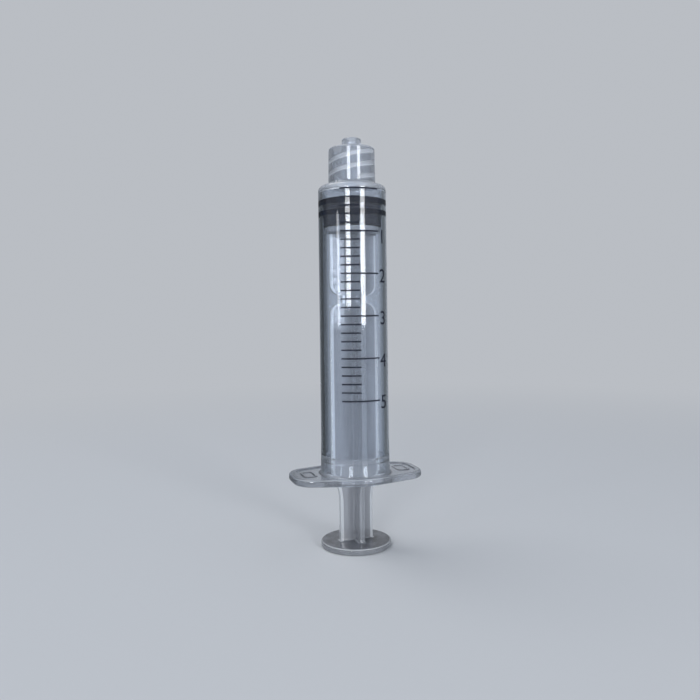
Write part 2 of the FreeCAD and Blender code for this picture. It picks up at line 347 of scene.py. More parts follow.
def flange_top_rings(angles):
    """The flange's upper side, from the tube's rounded root out over the raised border to its edge."""
    root_end = root_radius + root_fillet
    edge_start = flange_reach(flange_edge_round, angles)
    spare = edge_start - root_end
    # Beside the tube the flange is narrow: there the floor and the border share what reach there is
    floor_share = 0.3
    border_share = 0.6
    floor_end = np.maximum(flange_reach(border_width + 0.25 * mm, angles), root_end + floor_share * spare)
    reaches = []
    for turn in np.linspace(0.12, 1.5, 9):
        reaches.append(np.full(len(angles), root_end - root_fillet * math.cos(turn)))
    reaches.extend(root_end + (floor_end - root_end) * part for part in np.linspace(0, 1, 42))
    # Rows lie close together on the border's slope and beside the rounded edge
    insets = np.linspace(border_width + 0.2 * mm, border_width - 0.3 * mm, 13)
    insets = np.append(insets, [0.8 * mm, 0.65 * mm, 0.53 * mm, 0.48 * mm])
    for order, inset in enumerate(insets):
        least = root_end + spare * (floor_share + border_share * (order + 1) / len(insets))
        reaches.append(np.maximum(flange_reach(inset, angles), least))
    reach = np.array(reaches)
    across = reach * np.cos(angles)
    along = reach * np.sin(angles)
    outline = flange_edge(0)
    depth = np.array([
        np.hypot(x[:, None] - outline[:, 0], y[:, None] - outline[:, 1]).min(axis=1)
        for x, y in zip(across, along)
    ])
    inner_z = flange_top_z - border_rise
    up = inner_z + border_rise * smooth_step((border_width + border_slope / 2 - depth) / border_slope)
    inside_root = np.clip(root_end - reach, 0, root_fillet)
    up = np.maximum(up, inner_z + root_fillet - np.sqrt(root_fillet ** 2 - inside_root ** 2))
    aside = np.abs(across) - mark_offset
    off_mark = np.abs(outside_oblong(aside, along, mark_half_width, mark_half_length, mark_corner_round))
    mark_slope = 0.6 * mark_line_half_width
    up += mark_rise * (1 - smooth_step((off_mark - mark_slope) / mark_slope))
    return np.stack([across, along, up], axis=-1)


def flange_rim_rings(angles):
    """The flange's rounded edge, from its upper side round to its underside."""
    rings = []
    for is_low in (False, True):
        for turn in np.linspace(0, math.pi / 2, 7):
            lean = math.pi / 2 - turn if is_low else turn
            reach = flange_reach(flange_edge_round * (1 - math.sin(lean)), angles)
            drop = flange_edge_round * (1 - math.cos(lean))
            up = open_end_z + drop if is_low else flange_top_z - drop
            rings.append(level_ring(reach, angles, up))
    return np.array(rings)


def flange_underside_rings(angles):
    """The flat underside, from the rounded edge in to the mouth."""
    outer = flange_reach(flange_edge_round, angles)
    rings = []
    for part in (0.02, 0.2, 0.4, 0.6, 0.8, 0.98, 1):
        rings.append(level_ring(outer + (mouth_lip_radius - outer) * part, angles, open_end_z))
    return np.array(rings)


def thread_rise(angles, z):
    """How far the collar's double-start thread stands in from its wall, for each height and angle."""
    turns = thread_height / thread_lead
    fade = thread_end_fade_turns
    flank = (thread_root_width - thread_crest_width) / 2
    from_start = (angles - math.radians(thread_start_deg)) / (2 * np.pi)
    laps = (-1, 0, 1)
    rise = np.zeros((len(z), len(angles)))
    for start in range(thread_starts):
        for lap in laps:
            turn = (from_start - start / thread_starts + lap) % len(laps)
            turn = np.where(turn > len(laps) - 1, turn - len(laps), turn)
            centre = thread_low_z + thread_lead * turn
            aside = np.abs(z[:, None] - centre[None, :])
            shape = smooth_step((thread_root_width / 2 - aside) / flank)
            ends = smooth_step((turn + fade) / fade) * smooth_step((turns + fade - turn) / fade)
            rise = np.maximum(rise, shape * ends)
    return rise * (thread_major_radius - thread_minor_radius)


def clear_barrel_piece():
    """The barrel as one closed surface: up the inside, over the nozzle and collar, and down the outside."""
    angles = barrel_angles()
    wall_low = shoulder_z + 0.4 * mm
    wall_high = collar_top_z - 0.4 * mm
    inside = rounded_path([
        (mouth_lip_radius, open_end_z, 0),
        (mouth_radius + mouth_edge, open_end_z, 0.06 * mm),
        (mouth_radius + mouth_taper, open_end_z + 0.2 * mm, 0.15 * mm),
        (mouth_radius - mouth_taper, open_end_z + mouth_depth - mouth_edge, 0.25 * mm),
        (bead_radius, open_end_z + mouth_depth, 0.15 * mm),
        (bead_radius, open_end_z + bead_top, 0.2 * mm),
        (bore_radius, open_end_z + bead_top + bead_slope, 0.3 * mm),
        (bore_radius, bore_end_z, 0.3 * mm),
        (lumen_radius, bore_end_z + bore_end_rise, 0.2 * mm),
        (lumen_radius, nozzle_top_z, 0.12 * mm),
        (nozzle_end_radius, nozzle_top_z, 0.22 * mm),
        (nozzle_radius_at(shoulder_z), shoulder_z, 0.35 * mm),
        (thread_major_radius, shoulder_z, 0.3 * mm),
        (thread_major_radius, wall_low, 0),
    ])
    heights = np.linspace(wall_low, wall_high, thread_rows)
    reaches = thread_major_radius - thread_rise(angles, heights)
    wall = np.array([level_ring(reach, angles, height) for reach, height in zip(reaches, heights)])
    outside = rounded_path([
        (thread_major_radius, wall_high, 0),
        (thread_major_radius, collar_top_z - collar_mouth_chamfer, 0.1 * mm),
        (thread_major_radius + collar_mouth_chamfer, collar_top_z, 0.08 * mm),
        (collar_top_radius, collar_top_z, collar_rim_round),
        (collar_base_radius, shoulder_z, 0.4 * mm),
        (tube_radius, shoulder_z - shoulder_fall, shoulder_round),
        (tube_radius, flange_top_z + root_swell_length, 40 * mm),
        (root_radius, flange_top_z + 0.55 * mm, 0),
        (root_radius, flange_top_z - border_rise + root_fillet, 0),
    ], step_deg=8.0)
    rings = np.concatenate([
        turned_rings(inside, angles),
        wall[1:],
        turned_rings(outside[1:], angles),
        flange_top_rings(angles),
        flange_rim_rings(angles),
        flange_underside_rings(angles)[:-1],
    ])
    return skin("clear_barrel", rings)


def cross_section(half_span, half_thickness):
    """The shaft's cross as points anticlockwise: rounded rib edges, a band by each for the painted
    highlight, and rounded roots.
    """
    edge = rib_edge_round
    root_at = half_thickness + rib_root_round
    quarter = [(half_span, half_thickness * part) for part in (0, 0.35)]
    for turn in np.linspace(0, math.pi / 2, 5):
        across = half_span - edge + edge * math.cos(turn)
        quarter.append((across, half_thickness - edge + edge * math.sin(turn)))
    highlight_band_to = half_span - edge - rib_edge_highlight_band
    quarter.append((highlight_band_to, half_thickness))
    flat_start = math.atan2(half_thickness, highlight_band_to)
    flat_end = math.atan2(half_thickness, root_at)
    for turn in np.linspace(flat_start, flat_end, 13)[1:-1]:
        quarter.append((half_thickness / math.tan(turn), half_thickness))
    for turn in np.linspace(0, math.pi / 4, 5):
        across = root_at - rib_root_round * math.sin(turn)
        quarter.append((across, root_at - rib_root_round * math.cos(turn)))
    mirrored = [(y, x) for x, y in reversed(quarter[1:-1])]
    corner = np.array(quarter + mirrored)
    corners = []
    for turn in (0, math.pi / 2, math.pi, 3 * math.pi / 2):
        spin = np.array([[math.cos(turn), math.sin(turn)], [-math.sin(turn), math.cos(turn)]])
        corners.append(corner @ spin)
    return np.concatenate(corners)


def cross_ring(half_span, half_thickness, z):
    """One ring of the ribbed shaft."""
    section = cross_section(half_span, half_thickness)
    return np.column_stack([section, np.full(len(section), z)])


def root_rings(half_span, z, up):
    """The small round where the cross meets a disc, from the disc to the cross (up is 1 or -1)."""
    rings = []
    for turn in np.linspace(0, math.pi / 2, 5):
        grow = end_root_round * (1 - math.sin(turn))
        height = z + up * end_root_round * (1 - math.cos(turn))
        rings.append(cross_ring(half_span + grow, rib_half_thickness + grow, height))
    return rings


def plunger_rod_piece():
    """The rod as one closed surface: thumb disc, cross-ribbed shaft with its notch, front disc and head."""
    section = cross_section(shaft_half_span, rib_half_thickness)
    angles = np.arctan2(section[:, 1], section[:, 0])
    thumb = rounded_path([
        (2.0 * mm, 0, 0),
        (thumb_radius, 0, thumb_edge_round),
        (thumb_radius, thumb_thickness, thumb_edge_round),
        (4.6 * mm, thumb_thickness, 0),
    ])
    flare_turn = math.acos(1 - (shaft_half_span - foot_half_span) / flare_radius)
    flare = []
    for turn in np.linspace(0, flare_turn, 12):
        span = foot_half_span + flare_radius * (1 - math.cos(turn))
        flare.append((span, flare_start_z + flare_radius * math.sin(turn), 0))
    flare[-1] = (flare[-1][0], flare[-1][1], flare_end_round)
    shaft = rounded_path([
        (foot_half_span, thumb_thickness + end_root_round, 0),
        *flare,
        (shaft_half_span, notch_z - notch_half_gap, notch_round),
        (notch_half_span, notch_z - notch_half_gap, 0.15 * mm),
        (notch_half_span, notch_z + notch_half_gap, 0.15 * mm),
        (shaft_half_span, notch_z + notch_half_gap, notch_round),
        (shaft_half_span, front_disc_low_z - end_root_round, 0),
    ], step_deg=7.0)
    front = rounded_path([
        (5.45 * mm, front_disc_low_z, 0),
        (front_disc_radius, front_disc_low_z, 0.15 * mm),
        (front_disc_radius, front_disc_top_z, 0.2 * mm),
        (stem_radius, front_disc_top_z, 0.15 * mm),
        (stem_radius, stem_top_z, 0.1 * mm),
        (head_radius, stem_top_z, 0.15 * mm),
        (head_radius, stem_top_z + head_rim_height, 0.25 * mm),
        (head_tip_radius, head_tip_z, 0.25 * mm),
        (tip_flat_radius, head_tip_z, 0),
    ])
    rings = [
        *turned_rings(thumb, angles),
        *root_rings(foot_half_span, thumb_thickness, 1),
        *[cross_ring(span, rib_half_thickness, z) for span, z in shaft[1:-1]],
        *reversed(root_rings(shaft_half_span, front_disc_low_z, -1)),
        *turned_rings(front, angles),
    ]
    rod = skin("clear_plunger_rod", np.array(rings), poles=((0, 0, 0), (0, 0, head_tip_z)))
    rod.data.transform(Matrix.Rotation(math.radians(rod_turn_deg), 4, "Z"))
    return rod


def stopper_piece():
    """The stopper, turned: nose cone, two sealing rings, body, and the pocket for the rod's head."""
    angles = np.linspace(0, 2 * math.pi, stopper_columns, endpoint=False)
    rear_top_z = stopper_back_z + rear_ring_start + rear_ring_height
    front_ring_z = seal_edge_z - front_ring_height
    pocket_low_z = stem_top_z - pocket_clearance
    pocket_side_z = stem_top_z + head_rim_height + pocket_clearance
    path = rounded_path([
        (stopper_nose_flat_radius / 2, stopper_nose_z, 0),
        (stopper_nose_flat_radius, stopper_nose_z, 0.3 * mm),
        (contact_radius, seal_edge_z, 0.2 * mm),
        (contact_radius, front_ring_z, ring_corner),
        (groove_radius, front_ring_z - ring_flank, 0.2 * mm),
        (groove_radius, rear_top_z + ring_flank, 0.2 * mm),
        (contact_radius, rear_top_z, ring_corner),
        (contact_radius, stopper_back_z + rear_ring_start + ring_corner, 0.08 * mm),
        (stopper_body_radius, stopper_back_z + rear_ring_start, ring_corner),
        (stopper_body_radius, stopper_back_z, 0.3 * mm),
        (pocket_mouth_radius, stopper_back_z, 0.12 * mm),
        (pocket_mouth_radius, pocket_low_z, 0.1 * mm),
        (pocket_radius, pocket_low_z, 0.15 * mm),
        (pocket_radius, pocket_side_z, 0.3 * mm),
        (pocket_tip_radius, head_tip_z + pocket_clearance, 0.3 * mm),
        (tip_flat_radius, head_tip_z + pocket_clearance, 0),
    ])
    poles = ((0, 0, stopper_nose_z), (0, 0, head_tip_z + pocket_clearance))
    return skin("black_stopper", turned_rings(path, angles), poles=poles)


class Value:
    """A socket of a node tree. Sums with it add Math nodes."""

    def __init__(self, bench, socket):
        self.bench = bench
        self.socket = socket

    def __add__(self, other):
        return self.bench.maths("ADD", self, other)

    def __radd__(self, other):
        return self.bench.maths("ADD", other, self)

    def __sub__(self, other):
        return self.bench.maths("SUBTRACT", self, other)

    def __rsub__(self, other):
        return self.bench.maths("SUBTRACT", other, self)

    def __mul__(self, other):
        return self.bench.maths("MULTIPLY", self, other)

    def __rmul__(self, other):
        return self.bench.maths("MULTIPLY", other, self)

    def __truediv__(self, other):
        return self.bench.maths("DIVIDE", self, other)

    def __rtruediv__(self, other):
        return self.bench.maths("DIVIDE", other, self)

    def __mod__(self, other):
        return self.bench.maths("MODULO", self, other)

    def __lt__(self, other):
        return self.bench.maths("LESS_THAN", self, other)

    def __gt__(self, other):
        return self.bench.maths("GREATER_THAN", self, other)


class NodeBench:
    """Adds nodes to one tree, for a material or for Geometry Nodes."""

    def __init__(self, tree):
        self.tree = tree

    def add(self, kind, settings=None, sockets=None, output=0):
        """Any node: its settings, then its sockets' values or links. Returns one output as a Value."""
        node = self.tree.nodes.new(kind)
        for name, value in (settings or {}).items():
            setattr(node, name, value)
        for name, value in (sockets or {}).items():
            if isinstance(value, Value):
                self.tree.links.new(value.socket, node.inputs[name])
            else:
                node.inputs[name].default_value = value
        return Value(self, node.outputs[output]) if len(node.outputs) else node

    def maths(self, operation, first, second=0.0):
        """One Math node on values or numbers."""
        return self.add("ShaderNodeMath", {"operation": operation}, {0: first, 1: second})

    def soft_step(self, value, low, high):
        """0 below low and 1 above high, with a soft S between."""
        sockets = {"Value": value, "From Min": low, "From Max": high}
        return self.add("ShaderNodeMapRange", {"interpolation_type": "SMOOTHSTEP"}, sockets)

    def blend(self, part, first, second):
        """A colour between two."""
        sockets = {"Factor": part, 6: first, 7: second}
        return self.add("ShaderNodeMix", {"data_type": "RGBA"}, sockets, output=2)


def material_bench(name):
    """A new empty material and the bench that its nodes are added on."""
    material = bpy.data.materials.new(name)
    material.use_nodes = True
    material.node_tree.nodes.clear()
    return material, NodeBench(material.node_tree)


def noise(bench, place, scale, detail=2.0, roughness=0.5):
    """Soft noise from 0 to 1 on a place vector."""
    sockets = {"Vector": place, "Scale": scale, "Detail": detail, "Roughness": roughness}
    return bench.add("ShaderNodeTexNoise", None, sockets)


def stretched_place(bench, scale):
    """Object coordinates, stretched so that a pattern runs along an axis."""
    place = bench.add("ShaderNodeTexCoord", output="Object")
    return bench.add("ShaderNodeMapping", None, {"Vector": place, "Scale": scale})


def clear_plastic(name, tint, see_through, roughness, wave_height, wave_scale, unevenness):
    """Moulded clear polypropylene: a little milky, glossy, with a moulding's soft waves and flow haze."""
    material, bench = material_bench(name)
    place = bench.add("ShaderNodeTexCoord", output="Object")
    along = stretched_place(bench, (1.0, 1.0, 0.12))
    waves = noise(bench, along, wave_scale, 1.0)
    haze = noise(bench, place, 900.0, 3.0)
    flow = noise(bench, along, 420.0, 3.0, 0.6)
    gloss = roughness + (haze - 0.5) * roughness * 0.5 + (flow - 0.5) * roughness * 0.5
    milk = bench.soft_step(flow, 0.3, 0.75)
    deeper = tuple(part * (1 - unevenness) for part in tint)
    colour = bench.blend(milk, (*tint, 1.0), (*deeper, 1.0))
    bump = bench.add("ShaderNodeBump", None, {"Strength": 0.35, "Distance": wave_height, "Height": waves})
    shader = bench.add("ShaderNodeBsdfPrincipled", None, {
        "Base Color": colour,
        "Roughness": gloss,
        "Normal": bump,
        "IOR": 1.49,
        "Transmission Weight": see_through,
    })
    bench.add("ShaderNodeOutputMaterial", None, {"Surface": shader})
    return material


def black_rubber():
    """The stopper's bromobutyl rubber: near black with a breath of blue, satin, finely grained."""
    material, bench = material_bench("black_rubber_finish")
    place = bench.add("ShaderNodeTexCoord", output="Object")
    grain = noise(bench, place, 2600.0, 3.0)
    bloom = noise(bench, place, 500.0, 2.0)
    bloomed = bench.soft_step(bloom, 0.35, 0.7)
    colour = bench.blend(bloomed, (0.002, 0.004, 0.012, 1.0), (0.005, 0.009, 0.022, 1.0))
    bump = bench.add("ShaderNodeBump", None, {"Strength": 0.25, "Distance": 0.02 * mm, "Height": grain})
    shader = bench.add("ShaderNodeBsdfPrincipled", None, {
        "Base Color": colour,
        "Roughness": 0.42 + grain * 0.16,
        "Normal": bump,
        "IOR": 1.52,
        "Specular IOR Level": 0.08,
    })
    bench.add("ShaderNodeOutputMaterial", None, {"Surface": shader})
    return material


def scale_ink():
    """Printed ink: near black with a breath of navy, thinner in speckles."""
    material, bench = material_bench("scale_ink_finish")
    place = bench.add("ShaderNodeTexCoord", output="Object")
    speckle = noise(bench, place, 5200.0, 2.0)
    thin = bench.soft_step(speckle, 0.62, 0.8)
    colour = bench.blend(thin, (0.010, 0.013, 0.026, 1.0), (0.030, 0.036, 0.056, 1.0))
    bump = bench.add("ShaderNodeBump", None, {"Strength": 0.2, "Distance": 0.004 * mm, "Height": speckle})
    shader = bench.add("ShaderNodeBsdfPrincipled", None, {
        "Base Color": colour,
        "Roughness": 0.5 + speckle * 0.15,
        "Normal": bump,
        "Specular IOR Level": 0.2,
    })
    bench.add("ShaderNodeOutputMaterial", None, {"Surface": shader})
    return material


def strip_on_tube(bench, right_deg):
    """One printed line as a closed thin strip wrapped on the tube, for a Geometry Nodes tree."""
    flat = bench.add("GeometryNodeMeshGrid", None, {
        "Size X": 1.0,
        "Size Y": line_width,
        "Vertices X": strip_columns,
        "Vertices Y": 2,
    })
    place = bench.add("GeometryNodeInputPosition")
    parts = bench.add("ShaderNodeSeparateXYZ", None, {"Vector": place})
    part = parts + 0.5
    turn = math.radians(line_left_deg) + part * math.radians(right_deg - line_left_deg)
    across = bench.maths("SINE", turn) * (tube_radius + ink_lift)
    toward = bench.maths("COSINE", turn) * -(tube_radius + ink_lift)
    low_high = Value(bench, parts.socket.node.outputs["Y"])
    wrapped = bench.add("ShaderNodeCombineXYZ", None, {"X": across, "Y": toward, "Z": low_high})
    strip = bench.add("GeometryNodeSetPosition", None, {"Geometry": flat, "Position": wrapped})
    lifted = bench.add("GeometryNodeExtrudeMesh", None, {
        "Mesh": strip,
        "Offset Scale": ink_thickness,
        "Individual": False,
    })
    under = bench.add("GeometryNodeFlipFaces", None, {"Mesh": strip})
    both = bench.tree.nodes.new("GeometryNodeJoinGeometry")
    bench.tree.links.new(under.socket, both.inputs[0])
    bench.tree.links.new(lifted.socket, both.inputs[0])
    sockets = {"Geometry": Value(bench, both.outputs[0]), "Distance": weld_distance}
    return bench.add("GeometryNodeMergeByDistance", None, sockets)


def printed_lines_piece(ink):
    """The scale's lines: a short strip at each step and a long one at each whole millilitre."""
    tree = bpy.data.node_groups.new("printed_lines_on_tube", "GeometryNodeTree")
    tree.interface.new_socket("Geometry", in_out="OUTPUT", socket_type="NodeSocketGeometry")
    values = {
        "Lines": line_count,
        "Steps to a long line": steps_to_long_line,
        "First height": zero_line_z,
        "Pitch": line_pitch,
    }
    sockets = {}
    for name, value in values.items():
        kind = "NodeSocketInt" if isinstance(value, int) else "NodeSocketFloat"
        sockets[name] = tree.interface.new_socket(name, in_out="INPUT", socket_type=kind)
    bench = NodeBench(tree)
    given = tree.nodes.new("NodeGroupInput")
    lines, steps, first, pitch = (Value(bench, given.outputs[name]) for name in values)
    start = bench.add("ShaderNodeCombineXYZ", None, {"Z": first})
    step_down = bench.add("ShaderNodeCombineXYZ", None, {"Z": pitch * -1.0})
    ladder_sockets = {"Count": lines, "Start Location": start, "Offset": step_down}
    ladder = bench.add("GeometryNodeMeshLine", None, ladder_sockets)
    is_long = (bench.add("GeometryNodeInputIndex") % steps) < 0.5
    both = tree.nodes.new("GeometryNodeJoinGeometry")
    for right_deg, chosen in ((long_line_right_deg, is_long), (short_line_right_deg, 1.0 - is_long)):
        placed = bench.add("GeometryNodeInstanceOnPoints", None, {
            "Points": ladder,
            "Selection": chosen,
            "Instance": strip_on_tube(bench, right_deg),
        })
        tree.links.new(placed.socket, both.inputs[0])
    real = bench.add("GeometryNodeRealizeInstances", None, {"Geometry": Value(bench, both.outputs[0])})
    inked = bench.add("GeometryNodeSetMaterial", None, {"Geometry": real, "Material": ink})
    bench.add("NodeGroupOutput", None, {"Geometry": inked})
    mesh = bpy.data.meshes.new("printed_lines")
    piece = bpy.data.objects.new("printed_lines", mesh)
    bpy.context.collection.objects.link(piece)
    made = piece.modifiers.new("lines", "NODES")
    made.node_group = tree
    for name, socket in sockets.items():
        made[socket.identifier] = values[name]
    return made_plain(piece)


def made_plain(piece):
    """Turns what a piece's modifiers make into its plain mesh and takes the modifiers off."""
    graph = bpy.context.evaluated_depsgraph_get()
    piece.data = bpy.data.meshes.new_from_object(piece.evaluated_get(graph))
    piece.modifiers.clear()
    return piece


def scale_figures_piece(ink):
    """The figures 1 to 5 beside the long lines, wrapped on the tube."""
    work = bmesh.new()
    for figure in range(1, figure_count + 1):
        writing = bpy.data.curves.new("figure", "FONT")
        writing.body = str(figure)
        writing.align_x = "CENTER"
        stand = bpy.data.objects.new("figure", writing)
        bpy.context.collection.objects.link(stand)
        mesh = bpy.data.meshes.new_from_object(stand.evaluated_get(bpy.context.evaluated_depsgraph_get()))
        bpy.data.objects.remove(stand)
        points = np.array([vertex.co[:2] for vertex in mesh.vertices])
        middle = (points.min(axis=0) + points.max(axis=0)) / 2
        size = figure_height / np.ptp(points[:, 1])
        drop = first_figure_drop if figure == 1 else figure_drop
        height = zero_line_z - figure * steps_to_long_line * line_pitch - drop
        for vertex in mesh.vertices:
            across = (vertex.co.x - middle[0]) * size * figure_stretch
            vertex.co = (across, 0, height + (vertex.co.y - middle[1]) * size)
        work.from_mesh(mesh)
        bpy.data.meshes.remove(mesh)
    bmesh.ops.remove_doubles(work, verts=work.verts, dist=weld_distance)
    # Cut into narrow columns, so that the figures can bend round the tube
    for cut in np.arange(-figure_half_width, figure_half_width + 0.05 * mm, figure_cut_step):
        parts = work.verts[:] + work.edges[:] + work.faces[:]
        bmesh.ops.bisect_plane(work, geom=parts, plane_co=(cut, 0, 0), plane_no=(1, 0, 0))
    reach = tube_radius + ink_lift
    for vertex in work.verts:
        turn = math.radians(figure_middle_deg) + vertex.co.x / reach
        vertex.co.x = reach * math.sin(turn)
        vertex.co.y = -reach * math.cos(turn)
    work.normal_update()
    for face in work.faces:
        middle = face.calc_center_median()
        if face.normal.x * middle.x + face.normal.y * middle.y < 0:
            face.normal_flip()
    mesh = bpy.data.meshes.new("scale_figures")
    work.to_mesh(mesh)
    work.free()
    piece = bpy.data.objects.new("scale_figures", mesh)
    bpy.context.collection.objects.link(piece)
    thick = piece.modifiers.new("print", "SOLIDIFY")
    thick.thickness = ink_thickness
    thick.offset = 1.0
    made_plain(piece)
    piece.data.materials.clear()
    piece.data.materials.append(ink)
    return piece


def camera_directions():
    """Two level directions of the photograph's camera: to its right, and the way it looks."""
    turn = math.radians(camera_azimuth_deg)
    right = Vector((math.cos(turn), math.sin(turn), 0))
    forward = Vector((-math.sin(turn), math.cos(turn), 0))
    return right, forward


def photograph_camera():
    """The camera at the photograph's place, with its slight roll and its raised horizon."""
    right, forward = camera_directions()
    up = Vector((0, 0, 1))
    roll = math.radians(camera_roll_deg)
    rolled_right = right * math.cos(roll) - up * math.sin(roll)
    rolled_up = up * math.cos(roll) + right * math.sin(roll)
    lens = bpy.data.cameras.new("photo_camera")
    lens.sensor_width = sensor_width
    lens.lens = focal_length_px / picture_px * sensor_width
    lens.shift_y = -(picture_px / 2 - horizon_row_px) / picture_px
    lens.clip_start = 0.01
    lens.clip_end = 50.0
    camera = bpy.data.objects.new("photo_camera", lens)
    bpy.context.collection.objects.link(camera)
    turned = Matrix((rolled_right, rolled_up, -forward)).transposed()
    place = -forward * camera_distance + right * camera_side_step + up * camera_height
    camera.matrix_world = Matrix.Translation(place) @ turned.to_4x4()
    bpy.context.scene.camera = camera


def hang_lamp(lamp, away, place):
    """Hangs a lamp at a place, unseen by the camera and facing back along the direction away to it."""
    stand = bpy.data.objects.new(lamp.name, lamp)
    bpy.context.collection.objects.link(stand)
    stand.visible_camera = False
    stand.location = place
    stand.rotation_euler = away.to_track_quat("Z", "Y").to_euler()


def tall_lamp(name, from_deg, to_deg, low_deg, high_deg, brightness):
    """A tall soft lamp that fills those angles, seen from the syringe, with the camera's side at 0."""
    middle = math.radians(camera_azimuth_deg + (from_deg + to_deg) / 2)
    low = lamp_distance * math.tan(math.radians(low_deg))
    high = lamp_distance * math.tan(math.radians(high_deg))
    lamp = bpy.data.lights.new(name, "AREA")
    lamp.shape = "RECTANGLE"
    lamp.size = 2 * lamp_distance * math.tan(math.radians(abs(to_deg - from_deg)) / 2)
    lamp.size_y = high - low
    lamp.energy = brightness * math.pi * lamp.size * lamp.size_y
    lamp.color = (0.955, 0.975, 1.0)
    away = Vector((math.sin(middle), -math.cos(middle), 0))
    hang_lamp(lamp, away, away * lamp_distance + Vector((0, 0, camera_height + (low + high) / 2)))


def high_lamp(name, turn_deg, lift_deg, across, brightness):
    """A round soft lamp high up, with the camera's side at 0."""
    lamp = bpy.data.lights.new(name, "AREA")
    lamp.shape = "DISK"
    lamp.size = across
    lamp.energy = brightness * math.pi * math.pi * (across / 2) ** 2
    turn = math.radians(camera_azimuth_deg + turn_deg)
    lift = math.radians(lift_deg)
    away = Vector((math.sin(turn) * math.cos(lift), -math.cos(turn) * math.cos(lift), math.sin(lift)))
    hang_lamp(lamp, away, away * high_lamp_distance)


def pale_floor(backdrop, near):
    """A wide plain floor that melts into the backdrop away from the syringe."""
    mesh = bpy.data.meshes.new("floor")
    plan = [(-1, -1), (1, -1), (1, 1), (-1, 1)]
    corners = [(floor_half_size * x, floor_half_size * y, floor_z) for x, y in plan]
    mesh.from_pydata(corners, [], [(0, 1, 2, 3)])
    floor = bpy.data.objects.new("floor", mesh)
    bpy.context.collection.objects.link(floor)
    material, bench = material_bench("pale_floor")
    place = bench.add("ShaderNodeTexCoord", output="Object")
    away = bench.add("ShaderNodeVectorMath", {"operation": "LENGTH"}, {0: place}, output="Value")
    far = bench.soft_step(away, floor_fade_start, floor_fade_end)
    grain = noise(bench, place, 300.0, 3.0)
    bump = bench.add("ShaderNodeBump", None, {"Strength": 0.05, "Distance": 0.05 * mm, "Height": grain})
    matte = bench.add("ShaderNodeBsdfPrincipled", None, {
        "Base Color": (*near, 1.0),
        "Roughness": 0.9,
        "Specular IOR Level": 0.0,
        "Normal": bump,
    })
    glow = bench.add("ShaderNodeEmission", None, {"Color": (*backdrop, 1.0), "Strength": 1.0})
    mixed = bench.add("ShaderNodeMixShader", None, {0: far, 1: matte, 2: glow})
    bench.add("ShaderNodeOutputMaterial", None, {"Surface": mixed})
    mesh.materials.append(material)


def studio_card(name, from_deg, to_deg, reach, low, high, shade):
    """A curved card with soft ends, dark or light, as set beside glassware: the plastic mirrors it."""
    columns = 17
    rows = 9
    side_fade = 0.2
    top_fade = 0.25
    points = []
    fades = []
    for up in np.linspace(0, 1, rows):
        for part in np.linspace(0, 1, columns):
            turn = math.radians(camera_azimuth_deg + from_deg + (to_deg - from_deg) * part)
            points.append((reach * math.sin(turn), -reach * math.cos(turn), low + (high - low) * up))
            fade = smooth_step(min(part, 1 - part) / side_fade) * smooth_step((1 - up) / top_fade)
            fades.append(float(fade))
    faces = []
    for start in range(0, columns * (rows - 1), columns):
        faces.extend((i, i + 1, i + columns + 1, i + columns) for i in range(start, start + columns - 1))
    mesh = bpy.data.meshes.new(name)
    mesh.from_pydata(points, [], faces)
    mesh.attributes.new("fade", "FLOAT", "POINT").data.foreach_set("value", fades)
    card = bpy.data.objects.new(name, mesh)
    bpy.context.collection.objects.link(card)
    card.visible_camera = False
    card.visible_diffuse = False
    card.visible_shadow = False
    # A dark card is also seen through the plastic; a light one would show there as a pale rectangle
    card.visible_transmission = shade < 1
    material, bench = material_bench(name)
    fade = bench.add("ShaderNodeAttribute", {"attribute_name": "fade"}, output="Fac")
    clear = bench.add("ShaderNodeBsdfTransparent")
    plain = bench.add("ShaderNodeEmission", None, {"Color": (0.84, 0.93, 1.0, 1.0), "Strength": shade})
    mixed = bench.add("ShaderNodeMixShader", None, {0: fade, 1: clear, 2: plain})
    bench.add("ShaderNodeOutputMaterial", None, {"Surface": mixed})
    mesh.materials.append(material)


def studio(backdrop, fill):
    """World light: an even fill, and the pale backdrop for whatever looks at it, through plastic too."""
    world = bpy.data.worlds.new("studio")
    world.use_nodes = True
    world.node_tree.nodes.clear()
    bench = NodeBench(world.node_tree)
    seen = bench.add("ShaderNodeLightPath", output="Is Camera Ray")
    path = seen.socket.node
    glossy = Value(bench, path.outputs["Is Glossy Ray"])
    through = Value(bench, path.outputs["Is Transmission Ray"])
    direct = bench.maths("MAXIMUM", bench.maths("MAXIMUM", seen, glossy), through)
    colour = bench.blend(direct, (*fill, 1.0), (*backdrop, 1.0))
    light = bench.add("ShaderNodeBackground", None, {"Color": colour, "Strength": 1.0})
    bench.add("ShaderNodeOutputWorld", None, {"Surface": light})
    bpy.context.scene.world = world
    bpy.context.scene.view_settings.view_transform = "Standard"
    # From and to in degrees sideways, then upwards, and the brightness
    tall_lamp("lamp_near_camera", -23, -8, 0.9, 20, 12.0)
    tall_lamp("lamp_right", 27, 42, -1, 20, 12.0)
    tall_lamp("lamp_left", -54, -48, -1, 10.3, 7.0)
    high_lamp("lamp_overhead", -120, 66, 0.4, 3.5)
    # From and to in degrees sideways, the distance, low and high in metres, and the brightness
    studio_card("dark_card_left", -168, -84, 0.045, 0.0, 0.1, 0.06)
    studio_card("dark_card_right", 84, 160, 0.045, 0.0, 0.1, 0.16)
    studio_card("light_card_left", -84, -79, 0.085, 0.001, 0.046, 4.0)
    studio_card("light_card_right", 78, 84, 0.085, 0.001, 0.046, 3.0)


